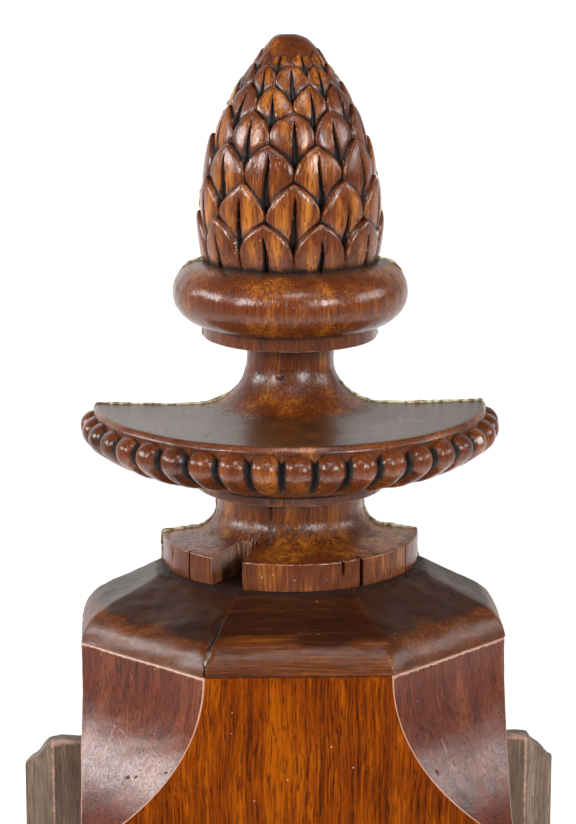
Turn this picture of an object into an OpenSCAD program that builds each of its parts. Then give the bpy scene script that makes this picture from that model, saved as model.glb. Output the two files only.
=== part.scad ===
// Half newel post with a carved pine cone finial.
// The post is split lengthwise along the turning axis, so its back is flat.
// +Z is up, the front is -Y and the flat back is +Y. Millimetres.

/* [Post] */
// Width of the post across its flats
post_w = 200; // [150:1:260]
// Height of the post from the floor to the edge of the cap
post_h = 920; // [700:5:1100]
// Leg of the 45 degree chamfer at the front corners
chamfer = 57; // [35:1:60]
// Height over which each chamfer runs out in a cove
stop_h = 82; // [60:1:120]

/* [Cap] */
// Radius of the rounded edge round the cap
cap_round = 18; // [10:1:20]
// Slope of the upper part of the cap, in degrees
cap_slope = 25.5; // [15:0.5:30]
// Width of the flat left round the foot of the finial
cap_seat = 2.2; // [0.5:0.1:6]

/* [Finial] */
// Radius of the lower neck
neck_r = 35; // [26:0.5:40]
// Distance that the base disc stands out past the lower neck
disc_out = 26.2; // [18:0.2:30]
// Thickness of the base disc at its rim
disc_h = 13; // [8:0.5:18]
// Distance that the fillet under the dish stands out past the lower neck
fillet_out = 10; // [5:0.5:14]
// Radius of the rim of the dish
dish_r = 91.6; // [76:0.2:92]
// Radius of the upper neck
stem_r = 20.5; // [16:0.5:26]
// Distance that the torus stands out past the pine cone
torus_out = 11.4; // [6:0.2:16]
// Radius of the round of the torus
torus_round = 15.2; // [12:0.2:16]
// Distance that the ring under the torus stands out past the middle of its round
ring_out = 1.2; // [0.5:0.1:6]

/* [Gadroons] */
// Number of gadroons in a full turn of the dish
gadroons = 40; // [30:2:48]
// Depth of the grooves between gadroons, as a share of a gadroon's width
gadroon_groove = 0.22; // [0.1:0.02:0.3]

/* [Pine cone] */
// Largest radius of the cone
cone_r = 44; // [36:0.5:53]
// Radius of the arc that the side of the cone follows
cone_arc = 120; // [100:1:160]
// Height of the widest place above the foot of the cone
cone_belly = 18; // [10:1:24]
// Scales in a full turn
scales = 10; // [8:2:16]
// Depth of the steps between the rows of scales
scale_depth = 3; // [1:0.25:4]

/* [Back board] */
// Distance that the board stands out past each side of the post
board_margin = 29.5; // [15:0.5:50]
// Thickness of the board
board_t = 12; // [10:0.5:25]
// Drop from the edge of the cap to the top of the board
board_drop = 64; // [30:1:120]
// Width of the bevel along each long edge
bevel_w = 14; // [8:0.5:20]
// Thickness left at the edge of the bevel
bevel_t = 4; // [2:0.5:8]
// Leg of the clipped corners at the top
clip = 13; // [5:0.5:20]

/* [Hidden] */
$fn = 64;
eps = 0.01;
half_w = post_w / 2;

// The turning axis lies in the flat back, and the origin is under the middle of the whole.
axis_y = (half_w - board_t) / 2;

// Distance from the axis to a chamfer's face, depth of the chamfer, and radius of its cove
chamfer_r = (post_w - chamfer) / sqrt(2);
chamfer_d = chamfer / sqrt(2);
cove_r = (pow(chamfer_d, 2) + pow(stop_h, 2)) / (2 * chamfer_d);

// Radii on the finial that follow from the ones above
disc_r = neck_r + disc_out;
fillet_r = neck_r + fillet_out;
torus_in = cone_r + torus_out - torus_round;
ring_r = torus_in + ring_out;

// Where the cap's rounded edge turns into its slope, as distance in from the edge and height,
// and the rise of the cap up to the flat that the finial stands on
cap_turn = 90 - cap_slope;
cap_in = cap_round * (1 - cos(cap_turn));
cap_up = cap_round * sin(cap_turn);
cap_h = cap_up + (half_w - cap_in - disc_r - cap_seat) * tan(cap_slope);

// Heights on the finial, from its foot
neck_round = 12;
disc_crown = 2.2;
neck_foot = disc_h + disc_crown;
fillet_z = 35.9;
fillet_h = 4.3;
dish_z = 76.2;
stem_round_r = 24;
stem_round_z = 22;
ring_z = 108.6;
ring_h = 6.4;
torus_z = ring_z + ring_h + torus_round;

// Side of a gadroon, from above its round head, down the belly and in to its tail:
// [distance from the axis, height, angle that the surface faces]
gadroon_pitch = 360 / gadroons;
head_round = 7.3;
head_in = dish_r + 0.7;
head_z = dish_z - 10.5;
belly_round = 45;
belly_angle = -48;
tail_angle = -75;
belly_in = head_in - (belly_round - head_round) * cos(belly_angle);
belly_up = head_z - (belly_round - head_round) * sin(belly_angle);
tail_r = fillet_r + 2;
tail_start = [belly_in + belly_round * cos(tail_angle), belly_up + belly_round * sin(tail_angle)];
gadroon_side = concat(
    [for (a = [135 : -30.5 : belly_angle]) [head_in + head_round * cos(a), head_z + head_round * sin(a), a]],
    [for (a = [belly_angle - 9 : -9 : tail_angle])
        [belly_in + belly_round * cos(a), belly_up + belly_round * sin(a), a]],
    [[tail_r, tail_start[1] - (tail_start[0] - tail_r) * tan(90 + tail_angle), tail_angle]]
);
// Two places inside the dish that close each section of the band of gadroons
gadroon_inside = [[fillet_r + 6, dish_z - 22], [head_in - 12, head_z]];

// The cone's side is an arc that ends in a small round tip
arc_in = cone_arc - cone_r;
cone_z = torus_z + torus_round - 0.2;
belly_z = cone_z + cone_belly;
tip_angle = 43.8;
tip_r = cone_arc - arc_in / cos(tip_angle);
tip_z = belly_z + arc_in * tan(tip_angle);
cone_sink = 2;
foot_angle = -asin((cone_belly + cone_sink) / cone_arc);

function on_arc(a) = [cone_arc * cos(a) - arc_in, belly_z + cone_arc * sin(a)];
function on_tip(a) = [tip_r * cos(a), tip_z + tip_r * sin(a)];
function cone_side(a) = a < tip_angle ? on_arc(a) : on_tip(a);

// Rows of scales: each row's tips lie a fixed share of the local radius above the last row's
rows = 7;
first_tip = 2.5;
row_step = 0.428;
function tip_at(i) = i == 0 ? first_tip
    : let (a = tip_at(i - 1)) a + row_step * max(cone_side(a)[0], 4) / cone_arc * 180 / PI;
tips = [for (i = [0 : rows]) tip_at(i)];

// Depth of the carving below the cone's side at angle a up the side and t round it.
// The lowest row that covers a place lies in front.
scale_pitch = 360 / scales;
arch_power = 2.1;
function stagger(i) = (i % 2 == 0) ? scale_pitch / 2 : 0;
function across(i, t) = abs((t + 360 + stagger(i) + scale_pitch / 2) % scale_pitch * 2 / scale_pitch - 1);
function below_tip(i, a) = (tips[i] - a) / (tips[min(i + 1, rows)] - tips[min(i, rows - 1)]);
function arch(d) = 1 - pow(max(0, 1 - d), arch_power);
function covers(i, a, t) = below_tip(i, a) > -0.001 && across(i, t) <= arch(below_tip(i, a)) + 0.001;
function scale_of(a, t, i = 0) = i > rows - 1 ? -1 : covers(i, a, t) ? i : scale_of(a, t, i + 1);
function carving(a, t) =
    let (i = scale_of(a, t), size = cone_side(a)[0] / cone_r)
    i < 0 ? scale_depth * size * 0.5
    : scale_depth * size * (0.5 * min(below_tip(i, a), 2) + 0.25 * pow(across(i, t), 2));

// Points of an arc from angle a to angle b
function arc(centre, rx, rz, a, b, steps) =
    [for (k = [0 : steps]) let (u = a + (b - a) * k / steps) centre + [rx * cos(u), rz * sin(u)]];

module on_axis() {
    translate([0, axis_y, 0]) children();
}

// Square half post whose front corners are chamfered at the top and run out in coves
module post() {
    color("saddlebrown") on_axis() difference() {
        translate([-half_w, -half_w, 0]) cube([post_w, half_w, post_h]);
        for (side = [-45, 45])
            rotate([0, 0, side])
                translate([0, -chamfer_r - cove_r, post_h])
                    rotate([0, 90, 0]) cylinder(r = cove_r, h = post_w, center = true, $fn = 128);
    }
}

// Outline of one side of the cap: steep rounded edge below, low slope above
module cap_outline(flat) {
    edge = arc([flat - cap_round, 0], cap_round, cap_round, 0, cap_turn, 8);
    top = [flat - cap_in - (cap_h - cap_up) / tan(cap_slope), cap_h];
    polygon(concat([[-post_w, 0]], edge, [top, [-post_w, cap_h]]));
}

// Octagonal hipped block
module cap() {
    color("sienna") on_axis() translate([0, 0, post_h]) intersection() {
        translate([-post_w, -post_w, 0]) cube([2 * post_w, post_w, cap_h]);
        intersection_for(k = [-2 : 2])
            rotate([0, 0, 45 * k - 90])
                rotate([90, 0, 0])
                    linear_extrude(height = 3 * post_w, center = true)
                        cap_outline(k % 2 == 0 ? half_w : chamfer_r);
    }
}

// Turned body from the base disc to the torus
module turned_outline() {
    polygon(concat(
        [[0, 0], [disc_r, 0], [disc_r, disc_h]],
        arc([neck_r + neck_round, neck_foot + neck_round], neck_round, neck_round, 270, 180, 8),
        [[neck_r, fillet_z], [fillet_r, fillet_z], [fillet_r, fillet_z + fillet_h]],
        [tail_start + [0, 3.4], [dish_r + 1, head_z - 1], [dish_r + 1, dish_z - 3], [dish_r, dish_z]],
        arc([stem_r + stem_round_r, dish_z - 0.6 + stem_round_z], stem_round_r, stem_round_z, 270, 180, 10),
        [[stem_r, ring_z], [ring_r, ring_z], [ring_r, ring_z + ring_h], [torus_in, torus_z], [0, torus_z]]
    ));
    translate([torus_in, torus_z]) circle(r = torus_round);
    translate([0, torus_z]) square([torus_in, torus_round]);
}

// Section of the band at a share x of half a gadroon's width from its middle, t round the axis
function gadroon_point(p, x, t) =
    let (
        groove = gadroon_groove * p[0] * sin(gadroon_pitch),
        d = groove * (1 - sqrt(max(0, 1 - x * x))),
        r = p[0] - d * cos(p[2])
    )
    [r * sin(t), -r * cos(t), p[1] - d * sin(p[2])];

// Band of gadroons under the rim of the dish, with half a gadroon at each end
facets = 6;
module gadroon_band() {
    steps = facets * gadroons / 2;
    n = len(gadroon_side) + len(gadroon_inside);
    points = [for (k = [0 : steps]) each
        let (t = 180 * k / steps - 90, x = abs(2 * (((k + facets / 2) % facets) / facets) - 1))
        concat(
            [for (p = gadroon_side) gadroon_point(p, x, t)],
            [for (p = gadroon_inside) [p[0] * sin(t), -p[0] * cos(t), p[1]]]
        )];
    faces = concat(
        [for (k = [0 : steps - 1]) for (j = [0 : n - 1]) each
            let (a = k * n + j, b = k * n + (j + 1) % n) [[a, a + n, b], [b, a + n, b + n]]],
        [[for (j = [0 : n - 1]) j]],
        [[for (j = [n - 1 : -1 : 0]) steps * n + j]]
    );
    polyhedron(points = points, faces = faces);
}

// Pine cone as one skin over the front half, closed by its flat back and foot.
// Its rings lie where the outlines of the scales cross its columns.
half_cuts = 5;
columns = half_cuts * scales;
ring_cuts = [for (k = [half_cuts : -1 : 1]) pow(1 - k / half_cuts, 1 / arch_power)];
tip_cuts = 5;
row_ends = concat([tips[0] - (tips[1] - tips[0])], tips);
angles = concat(
    [foot_angle],
    [for (i = [0 : rows - 1]) for (k = [0 : half_cuts - 1])
        row_ends[i] + (row_ends[i + 1] - row_ends[i]) * ring_cuts[k]],
    [for (k = [0 : tip_cuts]) row_ends[rows] + (90 - row_ends[rows]) * k / (tip_cuts + 0.5)]
);
// The cut across each cell of the skin follows the outline of the scale that passes it.
// The skin starts at a scale's edge or at its middle, as the number of scales has it.
function leans(j, k) = (floor((j - 1) / half_cuts) + floor(k / half_cuts) + scales / 2) % 2 == 1;
function cone_point(a, t) =
    let (p = cone_side(a), d = carving(a, t), r = p[0] - d * cos(a), z = p[1] - d * sin(a))
    [r * sin(t), -r * cos(t), z];

module cone() {
    last = len(angles) - 1;
    wide = columns + 1;
    skin = [for (a = angles) for (k = [0 : columns]) cone_point(a, 180 * k / columns - 90)];
    top = len(skin);
    points = concat(skin, [[0, 0, tip_z + tip_r]]);
    faces = concat(
        [for (j = [0 : last - 1]) for (k = [0 : columns - 1]) each
            let (p = j * wide + k, q = p + wide)
            leans(j, k) ? [[p, q, p + 1], [p + 1, q, q + 1]] : [[p, q + 1, p + 1], [p, q, q + 1]]],
        [for (k = [0 : columns - 1]) [last * wide + k, top, last * wide + k + 1]],
        [[for (k = [0 : columns]) k]],
        [concat([for (j = [last : -1 : 0]) j * wide], [for (j = [0 : last]) j * wide + columns], [top])]
    );
    polyhedron(points = points, faces = faces);
}

// Wedge that has broken out of the rim of the base disc, on the left of the front.
// Its corners are given as [share of the way out from the neck to the rim, angle from the front].
break_corners = [
    [0.12, -21.5], [0.37, -23.7], [1.3, -23.6], [1.3, -39.4],
    [0.96, -39.8], [0.74, -42.8], [0.52, -48.8], [0.26, -36.7]
];
module break_wedge() {
    translate([0, 0, -eps]) linear_extrude(height = neck_foot + 1)
        polygon([for (c = break_corners) let (r = neck_r + disc_out * c[0]) [r * sin(c[1]), -r * cos(c[1])]]);
}

module finial() {
    color("chocolate") on_axis() translate([0, 0, post_h + cap_h]) {
        difference() {
            rotate_extrude(angle = 180, start = 180) turned_outline();
            break_wedge();
        }
        gadroon_band();
        cone();
    }
}

// Flat board behind the post, with bevelled long edges and clipped upper corners
module back_board() {
    top = post_h - board_drop;
    edge = half_w + board_margin;
    color("rosybrown") on_axis() intersection() {
        linear_extrude(height = top)
            polygon([
                [-edge, board_t], [-edge, board_t - bevel_t], [-edge + bevel_w, 0],
                [edge - bevel_w, 0], [edge, board_t - bevel_t], [edge, board_t]
            ]);
        rotate([90, 0, 0]) linear_extrude(height = 3 * board_t, center = true)
            polygon([
                [-edge, 0], [edge, 0], [edge, top - clip],
                [edge - clip, top], [-edge + clip, top], [-edge, top - clip]
            ]);
    }
}

post();
cap();
finial();
back_board();
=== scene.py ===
# %% [markdown]
# # Half newel post with a carved pine cone
# A newel is the stout post that ends a stair rail. This one is half a newel, split down its middle
# so that it can stand flat against a wall. Four pieces of old varnished walnut make it up: a square
# post, an octagonal cap, a turned and carved finial, and a thin board behind.
# The CAD frame is loaded first, because every size and place below is taken from it.

# %% Load the frame
import math

import bmesh
import bpy
import numpy as np
from mathutils import Matrix, Vector


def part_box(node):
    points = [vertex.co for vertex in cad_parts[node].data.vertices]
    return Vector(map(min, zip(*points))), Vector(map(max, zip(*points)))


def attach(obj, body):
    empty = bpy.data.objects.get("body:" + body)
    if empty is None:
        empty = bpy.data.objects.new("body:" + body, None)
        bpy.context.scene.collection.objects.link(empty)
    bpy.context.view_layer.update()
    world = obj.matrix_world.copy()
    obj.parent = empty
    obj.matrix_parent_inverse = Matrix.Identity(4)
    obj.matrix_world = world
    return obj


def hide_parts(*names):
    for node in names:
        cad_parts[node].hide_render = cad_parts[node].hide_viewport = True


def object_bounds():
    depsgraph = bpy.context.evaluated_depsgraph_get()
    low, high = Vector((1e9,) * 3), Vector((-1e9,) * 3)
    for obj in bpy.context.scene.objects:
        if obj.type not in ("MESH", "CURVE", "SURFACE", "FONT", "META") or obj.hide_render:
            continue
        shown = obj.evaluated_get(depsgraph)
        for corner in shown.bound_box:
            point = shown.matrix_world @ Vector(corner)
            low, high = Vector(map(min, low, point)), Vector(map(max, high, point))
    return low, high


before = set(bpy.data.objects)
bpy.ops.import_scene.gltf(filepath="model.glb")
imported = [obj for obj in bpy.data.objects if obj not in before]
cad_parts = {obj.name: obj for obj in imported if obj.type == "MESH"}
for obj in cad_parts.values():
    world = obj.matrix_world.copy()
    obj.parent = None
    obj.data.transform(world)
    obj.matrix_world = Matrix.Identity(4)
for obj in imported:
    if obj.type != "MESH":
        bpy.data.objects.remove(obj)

cad_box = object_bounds()
MM = 0.001

# %% [markdown]
# ## Sizes
# Sizes could be typed in, but read from the frame they can't disagree with the solid parts. The
# post's box gives the width across its flats. The turning axis of the whole newel lies in the
# post's flat back. Shapes are modelled in millimetres about that axis, with the front at -Y, and
# each piece is then put on its own foot.

# %% Sizes from the frame
post_lo, post_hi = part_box("post")
cap_lo, cap_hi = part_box("cap")
finial_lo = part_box("finial")[0]
board_lo, board_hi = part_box("back_board")
half_w = (post_hi[0] - post_lo[0]) / 2 / MM
cap_h = (cap_hi[2] - cap_lo[2]) / MM
post_h = (post_hi[2] - post_lo[2]) / MM
axis_x = (post_lo[0] + post_hi[0]) / 2
axis_y = post_hi[1]
chamfer = 57.0
chamfer_r = (2 * half_w - chamfer) / math.sqrt(2)
print("post half width", round(half_w, 1), "cap height", round(cap_h, 1), "mm")

# %% [markdown]
# ## Camera
# The view is that of a long portrait lens, from a little above the finial and a little to the
# left, looking down. A long lens keeps the upright edges nearly parallel. It could be placed by
# eye, but here its distance is so many widths of the post, so it keeps the view at any size.

# %% Camera
post_w = 2 * half_w * MM
camera_distance = 7.094 * post_w
camera_rise = 2.154 * post_w
camera_shift = -0.005 * post_w
camera_dip = math.radians(13.13)
camera_turn = math.radians(-2.2)
sensor_mm = 36
lens_mm = 133.68932

camera_data = bpy.data.cameras.new("camera")
camera_data.sensor_width = sensor_mm
camera_data.lens = lens_mm
camera = bpy.data.objects.new("camera", camera_data)
bpy.context.collection.objects.link(camera)
stand = Matrix.Rotation(camera_turn, 3, "Z") @ Vector((camera_shift, -camera_distance, camera_rise))
camera.location = Vector((axis_x, axis_y, post_hi[2])) + stand
camera.rotation_euler = (math.pi / 2 - camera_dip, 0, camera_turn)
bpy.context.scene.camera = camera
print("lens", round(camera_data.lens, 1), "mm, distance", round(stand.length, 2), "m")

# %% [markdown]
# ## Helpers for meshes
# Turned and carved work is easiest as a grid of points: rows run up the side and columns run round
# it. A grid is closed by its first row, its last row and the flat back. Each grid also carries
# marks, numbers from 0 to 1 on its points, that later tell the finish where the wood is dirty or in
# painted shade, worn, lighter or darker in tone (in places as painted light), or freshly broken.

# %% Grids to pieces
plain_tone = 0.5


def ripple(points, size, seed, waves=16):
    """Smooth random hills between about -1 and 1, as a sum of waves in random directions."""
    draw = np.random.default_rng(seed)
    ways = draw.normal(size=(waves, 3))
    ways /= np.linalg.norm(ways, axis=1)[:, None]
    ways *= (2 * math.pi / size) * draw.uniform(0.6, 1.6, (waves, 1))
    turns = draw.uniform(0, 2 * math.pi, waves)
    return np.sin(points @ ways.T + turns).sum(-1) / math.sqrt(waves)


def ramp(low, high, value):
    """0 below low, 1 above high, and smooth between."""
    t = np.clip((value - low) / (high - low), 0, 1)
    return t * t * (3 - 2 * t)


def quads(at):
    """The four-sided faces between the points of a grid, from the points' numbers."""
    return np.stack([at[:-1, :-1], at[:-1, 1:], at[1:, 1:], at[1:, :-1]], -1).reshape(-1, 4).tolist()


def half_grid(points, **marks):
    """A grid over the front half, closed at its foot, at its top and at the clean flat back."""
    rows, cols = points.shape[:2]
    at = np.arange(rows * cols).reshape(rows, cols)
    ends = [at[0, ::-1].tolist(), at[-1].tolist(), at[:, 0].tolist() + at[::-1, -1].tolist()]
    at_back = np.isin(np.arange(cols), (0, cols - 1))
    clean = {key: np.where(at_back, plain_tone * (key == "tone"), value) for key, value in marks.items()}
    return points.reshape(-1, 3), quads(at) + ends, {key: value.reshape(-1) for key, value in clean.items()}


def band_grid(points, **marks):
    """A grid whose rows are closed sections of a band, with a flat end at each side."""
    rows, cols = points.shape[:2]
    at = np.arange(rows * cols).reshape(rows, cols)
    faces = quads(np.hstack([at, at[:, :1]])) + [at[0].tolist(), at[-1, ::-1].tolist()]
    return points.reshape(-1, 3), faces, {key: value.reshape(-1) for key, value in marks.items()}


def close_back(points):
    """Puts the first and last column of a grid on the flat back, and the rest in front of it."""
    points[..., 1] = np.minimum(points[..., 1], 0)
    points[:, [0, -1], 1] = 0


def build_piece(name, grids, foot_z, materials, node=None, sharp=38):
    """One mesh object from several grids, put on its foot and hung on the frame. A second material
    goes where the mark called front is over a half."""
    faces, start = [], 0
    for points, loops, _ in grids:
        faces += [[i + start for i in loop] for loop in loops]
        start += len(points)
    placed = np.concatenate([grid[0] for grid in grids]) * MM + np.array([axis_x, axis_y, foot_z])
    placed = np.clip(placed, cad_box[0], cad_box[1])
    mesh = bpy.data.meshes.new(name)
    mesh.from_pydata(placed.tolist(), [], faces)
    work = bmesh.new()
    work.from_mesh(mesh)
    bmesh.ops.recalc_face_normals(work, faces=work.faces)
    work.to_mesh(mesh)
    work.free()
    marks = sorted({key for grid in grids for key in grid[2]})
    for key in marks:
        column = np.concatenate([values.get(key, np.zeros(len(points))) for points, _, values in grids])
        mesh.attributes.new(key, "FLOAT", "POINT").data.foreach_set("value", column.astype(np.float32))
    mesh.shade_smooth()
    mesh.set_sharp_from_angle(angle=math.radians(sharp))
    for material in materials:
        mesh.materials.append(material)
    if len(materials) > 1:
        front = mesh.attributes["front"].data
        pick = [int(min(front[i].value for i in face.vertices) > 0.5) for face in mesh.polygons]
        mesh.polygons.foreach_set("material_index", pick)
    piece = bpy.data.objects.new(name, mesh)
    bpy.context.collection.objects.link(piece)
    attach(piece, "root")
    if node:
        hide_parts(node)
    triangles = sum(len(loop) - 2 for loop in faces)
    print(name, len(placed), "points", triangles, "triangles", marks)


# %% [markdown]
# ## Helpers for finishes
# A finish is a tree of nodes. One helper adds a node with its settings and its links, and one
# turns a colour as a maker would write it into the linear light that the renderer works with.

# %% Nodes and colours
blend = {"data_type": "RGBA"}
smooth = {"interpolation_type": "SMOOTHSTEP"}


def linear(code, alpha=1.0):
    """An sRGB hex colour as linear light."""
    parts = [int(code[i:i + 2], 16) / 255 for i in (1, 3, 5)]
    return tuple(c / 12.92 if c <= 0.04045 else ((c + 0.055) / 1.055) ** 2.4 for c in parts) + (alpha,)


def add(tree, kind, inputs=(), **settings):
    """Adds one node with its settings. Inputs go by name, or by place among those in use, and are
    nodes, sockets or values. A node given as an input passes on its first output in use."""
    made = tree.nodes.new("ShaderNode" + kind)
    for key, value in settings.items():
        setattr(made, key, value)
    in_use = [socket for socket in made.inputs if socket.enabled]
    by_name = isinstance(inputs, dict)
    pairs = [(made.inputs[key], inputs[key]) for key in inputs] if by_name else zip(in_use, inputs)
    for socket, value in pairs:
        if isinstance(value, bpy.types.Node):
            value = next(output for output in value.outputs if output.enabled)
        if isinstance(value, bpy.types.NodeSocket):
            tree.links.new(value, socket)
        else:
            socket.default_value = value
    return made


def grain(tree, place, across, along, detail=3.0, shift=0.0):
    """Noise drawn out along the grain: its features are that many mm across and along."""
    fit = (1 / (across * MM), 1 / (across * MM), 1 / (along * MM))
    moved = add(tree, "Mapping", {"Vector": place, "Location": (shift, 2 * shift, 3 * shift), "Scale": fit})
    return add(tree, "TexNoise", {"Vector": moved, "Scale": 1.0, "Detail": detail, "Roughness": 0.62})


def line_mark(tree, place, start, end, width):
    """1 on a straight line between two points given in mm about the axis, and 0 away from it."""
    start, end = [Vector((axis_x, axis_y, post_hi[2])) + Vector(point) * MM for point in (start, end)]
    run = end - start
    rest = add(tree, "VectorMath", (place, tuple(start)), operation="SUBTRACT")
    dot = add(tree, "VectorMath", (rest, tuple(run / run.length_squared)), operation="DOT_PRODUCT")
    held = add(tree, "Clamp", (dot.outputs["Value"], 0.0, 1.0))
    foot = add(tree, "VectorMath", {0: tuple(run), "Scale": held}, operation="SCALE")
    gap = add(tree, "VectorMath", (rest, foot), operation="DISTANCE").outputs["Value"]
    return add(tree, "MapRange", (gap, width * MM, 0.3 * width * MM), **smooth)


print("helpers ready")

# %% [markdown]
# ## The finish: old varnished walnut
# Walnut is brown with darker growth figure, long fibres and short open pores. Under a century of
# varnish it turns red brown, dirt settles in the carving, and hands rub the edges pale. The colour
# is built in that order: bands of growth, streaks, fibres and pores, then dirt with painted shade in
# the hollows, wear, cracks and dust. The grain runs up the piece, so each pattern is a few
# millimetres across and many long.
# The varnish is a clear dielectric of index 1.5 over the wood. Its gloss is broken by the pores,
# which the bump follows, and dirt and bare wood are dull.

# %% Varnished walnut
pore_shade = linear("#1c0c05")
dirt_and_shade_colour = linear("#0f0805")
rubbed_shade = linear("#c79a82")
torn_shades = (linear("#35190d"), linear("#a87856"))
scratch_shade = linear("#a88a74")
crack_shade = linear("#0a0604")
filler_shade = linear("#b5afa8")
dust_shade = linear("#c9b9a8")
varnish_index = 1.5
bump_depth = 0.5 * MM


def varnished_walnut(name, shades, gloss=0.26, shine=0.5, figure=1.0, fine=1.0, relief=0.5, coat=0.0,
                     zones=(), lying=False, pores=0.6, dents=(), cracks=(), scratches=(), seams=()):
    """Varnished walnut. shades are its dark, middle and light colours, and zones are marks with their
    own shades. lying turns the grain to run along X. Lines are (start, end, width) in mm."""
    material = bpy.data.materials.new(name)
    material.use_nodes = True
    tree = material.node_tree
    shader = tree.nodes["Principled BSDF"]
    marks = {}
    for key in ("tone", "grime", "wear", "bare", "crack", "filler"):
        marks[key] = add(tree, "Attribute", attribute_name=key).outputs["Fac"]
    object_place = add(tree, "TexCoord").outputs["Object"]
    wander = add(tree, "TexNoise", {"Vector": object_place, "Scale": 1 / (45 * MM), "Detail": 2.0})
    swayed = add(tree, "VectorMath", (wander.outputs["Color"], (5 * MM,) * 3, object_place),
                 operation="MULTIPLY_ADD")
    turned = (0, math.pi / 2, 0) if lying else (0, 0, 0)
    place = add(tree, "Mapping", {"Vector": swayed, "Rotation": turned})

    fibres = grain(tree, place, 0.65, 16, 3.0)
    streaks = grain(tree, place, 1.3, 70, 3.0, 3.1)
    bands = grain(tree, place, 11, 260, 2.0, 5.3)
    patches = grain(tree, place, 22, 45, 4.0, 1.7)
    spots = grain(tree, place, 2.6, 2.6, 5.0, 9.1)
    layers = ((fibres, 1.2 * fine), (streaks, 1.4 * fine), (bands, 1.4 * figure), (patches, 1.1))
    tone = 0.5 - 0.5 * (sum(weight for _, weight in layers) + 0.5)
    for noise, weight in layers + ((marks["tone"], 0.5),):
        tone = add(tree, "Math", (noise, weight, tone), operation="MULTIPLY_ADD")
    lower = add(tree, "MapRange", (tone, 0.0, 0.5), **smooth)
    upper = add(tree, "MapRange", (tone, 0.5, 1.0), **smooth)
    for mark, (dark, middle, light) in [("", shades), *zones]:
        below = add(tree, "Mix", (lower, linear(dark), linear(middle)), **blend)
        here = add(tree, "Mix", (upper, below, linear(light)), **blend)
        if mark:
            share = add(tree, "Attribute", attribute_name=mark).outputs["Fac"]
            here = add(tree, "Mix", (share, colour, here), **blend)
        colour = here

    pits = grain(tree, place, 0.7, 9.0, 1.0, 7.7)
    pore = add(tree, "MapRange", (pits, 0.55, 0.68, 0.0, pores), **smooth)
    colour = add(tree, "Mix", (pore, colour, pore_shade), **blend)

    # dirt and painted shade, and rubbing, have ragged edges eaten by the spots: how far, from, to, at most
    for key, eaten, first, last, most, shade in (
            ("grime", 0.8, 0.08, 0.58, 1.0, dirt_and_shade_colour), ("wear", 0.9, 0.3, 0.7, 0.8, rubbed_shade)):
        ragged = add(tree, "Math", (marks[key], eaten / 2), operation="SUBTRACT")
        ragged = add(tree, "Math", (spots, eaten, ragged), operation="MULTIPLY_ADD")
        marks[key] = add(tree, "MapRange", (ragged, first, last, 0.0, most), **smooth)
        colour = add(tree, "Mix", (marks[key], colour, shade), **blend)
    torn = add(tree, "Mix", (add(tree, "MapRange", (fibres, 0.35, 0.65)), *torn_shades), **blend)
    colour = add(tree, "Mix", (marks["bare"], colour, torn), **blend)

    shaken = add(tree, "TexNoise", {"Vector": object_place, "Scale": 1 / (6 * MM), "Detail": 2.0})
    shaken = add(tree, "VectorMath", (shaken.outputs["Color"], (0.5,) * 3), operation="SUBTRACT")
    line_place = add(tree, "VectorMath", (shaken, (3 * MM,) * 3, object_place), operation="MULTIPLY_ADD")
    for start, end, width in scratches:
        line = line_mark(tree, line_place, start, end, width)
        broken = add(tree, "MapRange", (spots, 0.35, 0.6, 0.1, 0.6))
        line = add(tree, "Math", (line, broken), operation="MULTIPLY")
        colour = add(tree, "Mix", (line, colour, scratch_shade), **blend)
    gap = marks["crack"]
    for start, end, width in cracks:
        gap = add(tree, "Math", (gap, line_mark(tree, line_place, start, end, width)), operation="MAXIMUM")
    for centre, width in dents:
        reach = Vector((width, 0, 0))
        hollow = line_mark(tree, line_place, Vector(centre) - reach, Vector(centre) + reach, width * 0.8)
        gap = add(tree, "Math", (hollow, 0.7, gap), operation="MULTIPLY_ADD")
    axes = add(tree, "SeparateXYZ", (line_place,))
    for depth, first, last, width, shade in seams:
        seam = add(tree, "Math", (axes.outputs[1], axis_y - depth * MM, width * MM), operation="COMPARE")
        for side, end in (("GREATER_THAN", first), ("LESS_THAN", last)):
            within = add(tree, "Math", (axes.outputs[0], axis_x + end * MM), operation=side)
            seam = add(tree, "Math", (seam, within), operation="MULTIPLY")
        patchy = add(tree, "MapRange", (spots, 0.3, 0.6, 0.25, 0.8))
        seam = add(tree, "Math", (seam, patchy), operation="MULTIPLY")
        colour = add(tree, "Mix", (seam, colour, linear(shade)), **blend)
    gap = add(tree, "Clamp", (gap, 0.0, 1.0))
    nearly = add(tree, "Math", (gap, 0.93), operation="MULTIPLY")
    colour = add(tree, "Mix", (nearly, colour, crack_shade), **blend)
    colour = add(tree, "Mix", (marks["filler"], colour, filler_shade), **blend)

    cells = add(tree, "TexVoronoi", {"Vector": object_place, "Scale": 1 / (5 * MM)})
    chance = add(tree, "SeparateColor", (cells.outputs["Color"],)).outputs[0]
    reach = add(tree, "MapRange", (chance, 0.7, 1.0, 0.0, 0.085))
    speck = add(tree, "Math", (cells.outputs["Distance"], reach), operation="LESS_THAN")
    speck = add(tree, "Math", (speck, 0.65), operation="MULTIPLY")
    colour = add(tree, "Mix", (speck, colour, dust_shade), **blend)

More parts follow.
